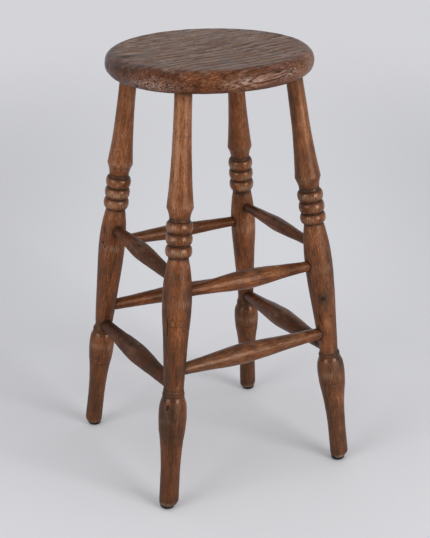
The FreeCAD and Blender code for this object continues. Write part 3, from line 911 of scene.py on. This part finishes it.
class Shader:
    """The nodes of a material or of the world."""

    def __init__(self, owner):
        owner.use_nodes = True
        self.owner = owner
        self.tree = owner.node_tree
        self.surface = self.tree.nodes.get("Principled BSDF")

    def put(self, socket, value):
        """Sets a socket to a value, or joins it to another node's output."""
        if isinstance(value, bpy.types.NodeSocket):
            self.tree.links.new(value, socket)
        else:
            socket.default_value = value

    def make(self, kind, output, inputs=(), **settings):
        """A new node's output. Inputs are pairs of a socket's name or place and what is put there."""
        made = self.tree.nodes.new("ShaderNode" + kind)
        for key, value in settings.items():
            setattr(made, key, value)
        for key, value in inputs:
            self.put(made.inputs[key], value)
        return made.outputs[output]

    def paint(self, name, output="Fac"):
        """A point attribute of the mesh."""
        return self.make("Attribute", output, attribute_name=name)

    def math(self, operation, *values, clamp=False):
        return self.make("Math", 0, enumerate(values), operation=operation, use_clamp=clamp)

    def times(self, first, second, clamp=False):
        return self.math("MULTIPLY", first, second, clamp=clamp)

    def total(self, start, *parts, clamp=False):
        """The start and a share of each part, given as (value, share)."""
        for count, (value, share) in enumerate(parts, 1):
            start = self.math("MULTIPLY_ADD", value, share, start, clamp=clamp and count == len(parts))
        return start

    def sway(self, start, textures, shares):
        """The start, swayed by each named texture about its middle."""
        for name, share in shares.items():
            start = self.total(start, (self.math("SUBTRACT", textures[name], 0.5), share))
        return start

    def vector(self, operation, *vectors, output="Vector"):
        return self.make("VectorMath", output, enumerate(vectors), operation=operation)

    def between(self, value, low, high):
        """Nothing at low, one at high, smoothly."""
        inputs = (("Value", value), ("From Min", low), ("From Max", high))
        return self.make("MapRange", "Result", inputs, interpolation_type="SMOOTHSTEP")

    def texture(self, place, sizes, detail=2.0, roughness=0.5, cut_shares=()):
        """Noise with features of the sizes, cut into separate spots where a cut is given."""
        inputs = (("Vector", self.vector("DIVIDE", place, sizes)), ("Scale", 1.0),
                  ("Detail", detail), ("Roughness", roughness))
        value = self.make("TexNoise", "Fac", inputs)
        return self.between(value, *cut_shares) if cut_shares else value

    def textures(self, place, table):
        return {name: self.texture(place, *row) for name, row in table.items()}

    def ramp(self, share, *stops, interpolation="LINEAR"):
        """Colours by share, each stop a place and a colour."""
        colour = self.make("ValToRGB", "Color", (("Fac", share),))
        ramp = colour.node.color_ramp
        ramp.interpolation = interpolation
        while len(ramp.elements) < len(stops):
            ramp.elements.new(0.5)
        for element, (place, stop) in zip(ramp.elements, stops):
            element.position = place
            element.color = (*stop, 1.0)
        return colour

    def mix(self, share, *colours):
        colours = [(*colour, 1.0) if isinstance(colour, tuple) else colour for colour in colours]
        return self.make("Mix", 2, zip((0, 6, 7), (share, *colours)), data_type="RGBA")

    def rings(self, place, gap, wander):
        """The dark share of the growth rings round the pith, as worked out for the meshes."""
        flat = self.vector("MULTIPLY", place, (1 / gap, 1 / gap, 0))
        share = self.math("FRACT", self.total(self.vector("LENGTH", flat, output="Value"), (wander, 0.5)))
        rise = self.between(share, *ring_rise_shares)
        fall = self.between(share, *ring_fall_shares)
        return self.times(rise, self.math("SUBTRACT", 1.0, fall))

    def bump(self, height, strength, distance):
        inputs = (("Strength", strength), ("Distance", distance * METRES), ("Height", height))
        self.put(self.surface.inputs["Normal"], self.make("Bump", "Normal", inputs))

    def finish(self, colour, roughness, gloss=0.5, gloss_tint=(1.0, 1.0, 1.0)):
        inputs = (("Base Color", colour), ("Roughness", roughness), ("Specular IOR Level", gloss),
                  ("Specular Tint", (*gloss_tint, 1.0)))
        for key, value in inputs:
            self.put(self.surface.inputs[key], value)


def new_shader(name):
    return Shader(bpy.data.materials.new(name))


def millimetres(shader):
    """Where a point lies on its object."""
    return shader.vector("DIVIDE", shader.make("TexCoord", "Object"), (METRES,) * 3)


# Colours and gloss of the turned wood
umber = (0.018, 0.007, 0.003)
chestnut = (0.066, 0.019, 0.006)
russet = (0.150, 0.041, 0.009)
amber = (0.285, 0.130, 0.062)
# Near black for dirt and painted shade
soot_and_shade = (0.008, 0.005, 0.003)
old_hollow = (0.016, 0.008, 0.005)
# Pale wood where the stain is rubbed off, which also paints the highlights on the bead crowns
bare_wood_and_highlight = (0.34, 0.22, 0.14)
wood_stops = ((0.0, umber), (0.32, chestnut), (0.60, russet), (1.0, amber))
wood_gloss_tint = (1.0, 0.64, 0.46)
# Textures: sizes, how fine, how rough, and where the noise is cut into separate spots
wood_textures = {
    "broad": ((12, 12, 30), 3.0),
    "streak": ((1.6, 1.6, 26), 4.0, 0.68),
    "fleck": ((1.1, 1.1, 5.0), 3.0, 0.7),
    "pores": ((0.5, 0.5, 2.6), 1.0, 0.5, (0.58, 0.70)),
    "specks": ((1.6, 1.6, 6.5), 2.0, 0.5, (0.59, 0.65)),
    "mottles": ((3.2, 3.2, 5.5), 4.0, 0.7, (0.52, 0.64)),
    "patches": ((15, 15, 24), 2.0, 0.5, (0.42, 0.62)),
    "gloss": ((4, 4, 12), 4.0, 0.65),
}
# How far each texture sways the tone, and the ragged edge of a hollow
wood_tone_shares = {"broad": 0.5, "streak": 1.25, "fleck": 1.05}
ragged_shares = {"fleck": 0.8}
# Where wear and painted highlights show between the streaks, dirt and painted shade between the broad
# patches, and a hollow within its edge
wear_cut_shares = (0.30, 0.62)
dirt_and_shade_cut_shares = (0.15, 0.55)
hollow_cut_shares = (0.22, 0.86)


def turned_wood(name, ring_gap, mottle, gloss_level):
    """Old stained and waxed beech: streaks, flecks, dark hollows, dirt and painted shade, and rubbed high
    places that on the bead crowns paint highlights.
    """
    shader = new_shader(name)
    place = shader.paint("grain", "Vector")
    seen = shader.textures(place, wood_textures)
    rings = shader.rings(place, ring_gap, seen["streak"])
    spots = shader.times(seen["mottles"], shader.total(0.2, (seen["patches"], 0.8)))
    tone = shader.sway(shader.paint("tone"), seen, wood_tone_shares)
    tone = shader.total(tone, (rings, -0.08), (spots, -mottle), clamp=True)
    colour = shader.ramp(tone, *wood_stops)
    for dark in ("pores", "specks"):
        colour = shader.mix(shader.times(seen[dark], 0.5), colour, umber)

    wear_and_highlight = shader.times(shader.paint("wear_and_highlight"), shader.between(seen["streak"], *wear_cut_shares))
    dirt_and_shade = shader.times(shader.paint("grime_and_shade"), shader.between(seen["broad"], *dirt_and_shade_cut_shares), clamp=True)
    hollow = shader.sway(shader.paint("hollow"), seen, ragged_shares)
    hollow = shader.between(hollow, *hollow_cut_shares)
    # Rubbed wood with painted highlights, dirt with painted shade, and dark hollows
    for share, cover in ((wear_and_highlight, bare_wood_and_highlight), (dirt_and_shade, soot_and_shade), (hollow, old_hollow)):
        colour = shader.mix(share, colour, cover)

    roughness = shader.total(0.26, (seen["gloss"], 0.44), (shader.paint("polish"), -0.22), (hollow, 0.45),
                             (dirt_and_shade, 0.26), clamp=True)
    shader.finish(colour, roughness, gloss=gloss_level, gloss_tint=wood_gloss_tint)
    height = shader.times(seen["streak"], 0.8)
    height = shader.total(height, (seen["fleck"], 0.5), (seen["pores"], -0.5), (spots, -0.5))
    shader.bump(height, strength=0.36, distance=0.12)
    return shader.owner


# Colours and gloss of the seat: its bare top, then its stained rim
grey_brown = (0.245, 0.158, 0.116)
weathered = (0.400, 0.282, 0.220)
furrow = (0.048, 0.027, 0.020)
stain_brown = (0.165, 0.080, 0.045)
dusty = (0.200, 0.156, 0.146)
varnish = (0.132, 0.036, 0.010)
varnish_dark = (0.055, 0.019, 0.009)
# The pale rubbed stain, which also paints the rim's highlights
thin_stain_and_highlight = (0.420, 0.295, 0.245)
top_stops = ((0.0, furrow), (0.55, grey_brown), (1.0, weathered))
rim_stops = ((0.0, umber), (0.30, varnish_dark), (0.60, varnish), (1.0, amber))
elm_gloss_level = 0.20
elm_gloss_tint = (1.0, 0.82, 0.70)
elm_textures = {
    "broad": ((18, 18, 60), 3.0),
    "streak": ((4.4, 4.4, 100), 4.0, 0.62),
    "line": ((2.2, 2.2, 62), 3.0, 0.62),
    "fibre": ((0.9, 0.9, 8), 3.0, 0.65),
    "pores": ((1.0, 1.0, 9.0), 1.0, 0.5, (0.55, 0.62)),
    "blots": ((6, 6, 9), 4.0, 0.65, (0.50, 0.64)),
    "faint": ((16, 16, 60), 3.0, 0.5, (0.34, 0.60)),
    "strokes": ((2.7, 2.7, 95), 3.0, 0.6, (0.545, 0.585)),
    "stained": ((26, 26, 40), 3.0, 0.5, (0.44, 0.62)),
    "greyed": ((17, 17, 40), 2.0, 0.5, (0.50, 0.62)),
    "crazing": ((2.6, 2.6, 7), 2.0, 0.6),
}
# The middle tone of the top and of the rim, and how far each texture sways it
top_tone = 0.73
top_tone_shares = {"broad": 0.5, "streak": 0.7, "line": 1.1, "fibre": 0.9}
rim_tone = 0.56
rim_broad_shares = {"broad": 0.7}
rim_fine_shares = {"line": 1.3, "fibre": 1.2}
rub_cut_shares = (0.44, 0.56)
under_dirt_and_shade_cut_shares = (0.15, 0.5)


def seat_elm():
    """Weathered elm: grey brown open grain on top, stained and polished round the rim, with painted
    highlights on the rim's front and painted shade under the seat and on the rim's left.
    """
    shader = new_shader("seat_elm")
    place = shader.paint("grain", "Vector")
    seen = shader.textures(place, elm_textures)
    rings = shader.rings(place, elm_ring_gap, seen["streak"])
    polish = shader.paint("polish")
    pored = shader.times(seen["pores"], shader.total(0.45, (rings, 0.55)))

    tone = shader.sway(top_tone, seen, top_tone_shares)
    open_rings = shader.times(rings, seen["faint"])
    tone = shader.total(tone, (open_rings, -1.05), (seen["strokes"], -0.60), (pored, -0.55), clamp=True)
    top = shader.ramp(tone, *top_stops)
    top = shader.mix(shader.times(seen["stained"], 0.55), top, stain_brown)
    top = shader.mix(shader.times(seen["greyed"], 0.5), top, dusty)

    tone = shader.math("ADD", shader.sway(rim_tone, seen, rim_broad_shares), shader.paint("tone"))
    tone = shader.sway(tone, seen, rim_fine_shares)
    tone = shader.total(tone, (rings, -0.10), (seen["blots"], -0.15), clamp=True)
    colour = shader.mix(polish, top, shader.ramp(tone, *rim_stops))

    wear_and_highlight = shader.times(shader.paint("wear_and_highlight"), shader.between(seen["line"], *rub_cut_shares))
    rim_pores = shader.times(seen["pores"], shader.times(polish, 0.5))
    dirt_and_shade_patches = shader.between(seen["broad"], *under_dirt_and_shade_cut_shares)
    dirt_and_shade = shader.times(shader.paint("grime_and_shade"), dirt_and_shade_patches, clamp=True)
    # Rubbed stain with painted highlights, dark pores, and dirt with painted shade under the seat
    for share, cover in ((wear_and_highlight, thin_stain_and_highlight), (rim_pores, umber), (dirt_and_shade, soot_and_shade)):
        colour = shader.mix(share, colour, cover)

    roughness = shader.total(0.50, (polish, -0.30), (seen["streak"], 0.20), (dirt_and_shade, 0.2), clamp=True)
    shader.finish(colour, roughness, gloss=elm_gloss_level, gloss_tint=elm_gloss_tint)
    height = shader.times(seen["fibre"], 0.6)
    crazed = shader.times(seen["crazing"], polish)
    height = shader.total(height, (seen["line"], 1.0), (pored, -1.0), (crazed, 1.6))
    shader.bump(height, strength=0.9, distance=0.36)
    return shader.owner


# Colours of the glides and their nails, as (clean, scuffed) and (clean, rusty)
glide_colours = ((0.007, 0.007, 0.007), (0.055, 0.051, 0.048))
steel_colours = ((0.42, 0.41, 0.40), (0.17, 0.07, 0.03))
scuff_texture = ((0.9, 0.9, 2.5), 4.0, 0.7)
scuff_cut_shares = (0.52, 0.66)
scuffed_places = ((6, 6, 6), 2.0, 0.5, (0.40, 0.62))
rust_texture = ((1.2, 1.2, 3.0), 4.0, 0.5, (0.50, 0.64))


def glide_black():
    """Old black domed glide: dull, scuffed grey on the crown."""
    shader = new_shader("glide")
    place = millimetres(shader)
    scuff = shader.texture(place, *scuff_texture)
    scuffed = shader.times(shader.between(scuff, *scuff_cut_shares), shader.texture(place, *scuffed_places))
    colour = shader.ramp(scuffed, *enumerate(glide_colours))
    shader.finish(colour, shader.total(0.34, (scuff, 0.4)), gloss=0.25)
    shader.bump(scuff, strength=0.5, distance=0.12)
    return shader.owner


def nail_steel():
    """Plain drawn steel with a little rust."""
    shader = new_shader("nail_steel")
    place = millimetres(shader)
    rust = shader.texture(place, *rust_texture)
    shader.finish(shader.ramp(rust, *enumerate(steel_colours)), shader.total(0.30, (rust, 0.45)))
    shader.put(shader.surface.inputs["Metallic"], shader.math("SUBTRACT", 1.0, rust))
    shader.bump(rust, strength=0.4, distance=0.1)
    return shader.owner


# Studio, in metres

# Lamps: a turn from the front and a lift from level in degrees, a width, a height and watts
lamps = {"key": (19, 12, 6.0, 7.6, 1100), "fill": (-76, 12, 7.6, 7.6, 720)}
lamp_distance = 12.0
background = (0.655, 0.655, 0.685)
# The light of the room, from low on the wall to the ceiling
room_stops = ((0.05, (0.22, 0.222, 0.225)), (0.95, (0.56, 0.565, 0.57)))

floor_radius = 3.3
floor_sides = 96
floor_fade = (1.3, 3.2)
# The floor's colours, which paint the studio's light and shade: in front of the stool, behind it from
# painted shadow on the left to painted light on the right, and further back a painted pool of light in the
# middle
floor_clouds = ((1.3, 1.3, 1.3), 1.0)
front_stops = ((0.0, (0.93, 0.93, 0.965)), (1.0, (0.955, 0.955, 0.99)))
left_shadow_colour = (0.865, 0.865, 0.90)
right_lit_colour = (0.92, 0.92, 0.955)
lit_colour = (0.945, 0.945, 0.985)
dim_colour = (0.81, 0.81, 0.84)
# Where they change, to the right of the stool's middle and behind it
left_to_right = (-0.35, 0.45)
front_to_behind = (-0.26, 0.04)
behind_to_back = (0.0, 1.1)
lit_middle = 0.05
lit_to_dim = (0.10, 0.70)


def studio_camera():
    """The photograph's camera."""
    data = bpy.data.cameras.new("camera")
    data.lens = camera_lens
    camera = add_object("camera", data)
    forward = Vector(camera_aim).normalized()
    level = forward.cross(Vector((0, 0, 1))).normalized()
    above = level.cross(forward)
    right = level * math.cos(camera_roll) + above * math.sin(camera_roll)
    up = right.cross(forward)
    turned = Matrix((right, up, -forward)).transposed().to_4x4()
    camera.matrix_world = Matrix.Translation(Vector(camera_place) * METRES) @ turned
    bpy.context.scene.camera = camera


def softbox(name, turn, lift, width, height, watts):
    """A big soft lamp aimed at the stool's middle."""
    data = bpy.data.lights.new(name, "AREA")
    data.shape = "RECTANGLE"
    data.size = width
    data.size_y = height
    data.energy = watts
    lamp = add_object(name, data)
    lamp.visible_camera = False
    turn, lift = math.radians(turn), math.radians(lift)
    away = Vector((math.sin(turn) * math.cos(lift), -math.cos(turn) * math.cos(lift), math.sin(lift)))
    lamp.location = Vector((0, 0, stool_height / 2 * METRES)) + away * lamp_distance
    lamp.rotation_euler = away.to_track_quat("Z", "Y").to_euler()


def floor_material():
    """A pale floor whose edge fades out into the background, with the studio's light and shade painted into
    its colour.
    """
    shader = new_shader("floor")
    place = shader.make("TexCoord", "Object")
    right_way = (math.cos(viewpoint_turn), -math.sin(viewpoint_turn), 0)
    back_way = (math.sin(viewpoint_turn), math.cos(viewpoint_turn), 0)
    right = shader.vector("DOT_PRODUCT", place, right_way, output="Value")
    back = shader.vector("DOT_PRODUCT", place, back_way, output="Value")
    off_middle = shader.math("ABSOLUTE", shader.math("SUBTRACT", right, lit_middle))
    front = shader.ramp(shader.texture(place, *floor_clouds), *front_stops)
    # Painted shadow on the left behind the stool, painted light on the right, and a painted pool of light
    # further back
    behind = shader.mix(shader.between(right, *left_to_right), left_shadow_colour, right_lit_colour)
    far = shader.mix(shader.between(off_middle, *lit_to_dim), lit_colour, dim_colour)
    colour = shader.mix(shader.between(back, *front_to_behind), front, behind)
    shader.finish(shader.mix(shader.between(back, *behind_to_back), colour, far), 0.9, gloss=0.1)
    reach = shader.between(shader.vector("LENGTH", place, output="Value"), *floor_fade)
    clear = shader.make("BsdfTransparent", "BSDF")
    mixed = (("Fac", reach), (1, shader.surface.outputs["BSDF"]), (2, clear))
    shader.put(shader.tree.nodes["Material Output"].inputs["Surface"], shader.make("MixShader", 0, mixed))
    return shader.owner


def floor():
    """A round floor."""
    turns = np.arange(floor_sides) * TURN / floor_sides
    points = np.stack([np.cos(turns), np.sin(turns), np.zeros(floor_sides)], axis=-1) * floor_radius
    mesh = bpy.data.meshes.new("floor")
    mesh.from_pydata(points.tolist(), [], [tuple(range(floor_sides))])
    mesh.materials.append(floor_material())
    sheet = add_object("floor", mesh)


def room():
    """A dim room under a pale ceiling for the light, and a plain pale background to look at."""
    shader = Shader(bpy.data.worlds.new("room"))
    lift = shader.make("SeparateXYZ", "Z", ((0, shader.make("TexCoord", "Generated")),))
    light = shader.ramp(lift, *room_stops, interpolation="EASE")
    seen = shader.make("LightPath", "Is Camera Ray")
    path = seen.node.outputs
    for kind in ("Is Glossy Ray", "Is Transmission Ray"):
        seen = shader.math("MAXIMUM", seen, path[kind])
    shader.put(shader.tree.nodes["Background"].inputs["Color"], shader.mix(seen, light, background))
    bpy.context.scene.world = shader.owner


def studio():
    bpy.context.scene.view_settings.view_transform = "Standard"
    studio_camera()
    for name, lamp in lamps.items():
        softbox(name, *lamp)
    room()
    floor()


# The stool

leg_seed = 100
stretcher_seed = 300
seed_step = 10


def dress(piece, material, node):
    """Gives a piece its material, and puts it in place of its CAD node."""
    piece.data.materials.append(material)
    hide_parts(node)
    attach(piece, "root")


def coat_node(node, material):
    """Gives a CAD node that stays its material."""
    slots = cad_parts[node].data.materials
    slots.clear()
    slots.append(material)


studio()
legs = {name: Leg(name, shape) for name, shape in leg_shapes.items()}
stretchers = {name: Stretcher(name, shape, legs) for name, shape in stretcher_shapes.items()}

leg_material = turned_wood("leg_wood", ring_gap=4.2, mottle=0.12, gloss_level=0.44)
for place, (name, leg) in enumerate(legs.items()):
    joints = [stretcher.joint(name) for stretcher in stretchers.values() if name in stretcher.leg_names]
    dress(leg.build(joints, leg_seed + seed_step * place), leg_material, "leg_" + name)

stretcher_material = turned_wood("stretcher_wood", ring_gap=3.6, mottle=0.13, gloss_level=0.34)
for place, (name, stretcher) in enumerate(stretchers.items()):
    piece = stretcher.build(stretcher_seed + seed_step * place)
    dress(piece, stretcher_material, "stretcher_" + name)

dress(Seat().build(), seat_elm(), "seat")

glide_material = glide_black()
nail_material = nail_steel()
for name in leg_shapes:
    coat_node("glide_" + name, glide_material)
    coat_node("glide_nail_" + name, nail_material)
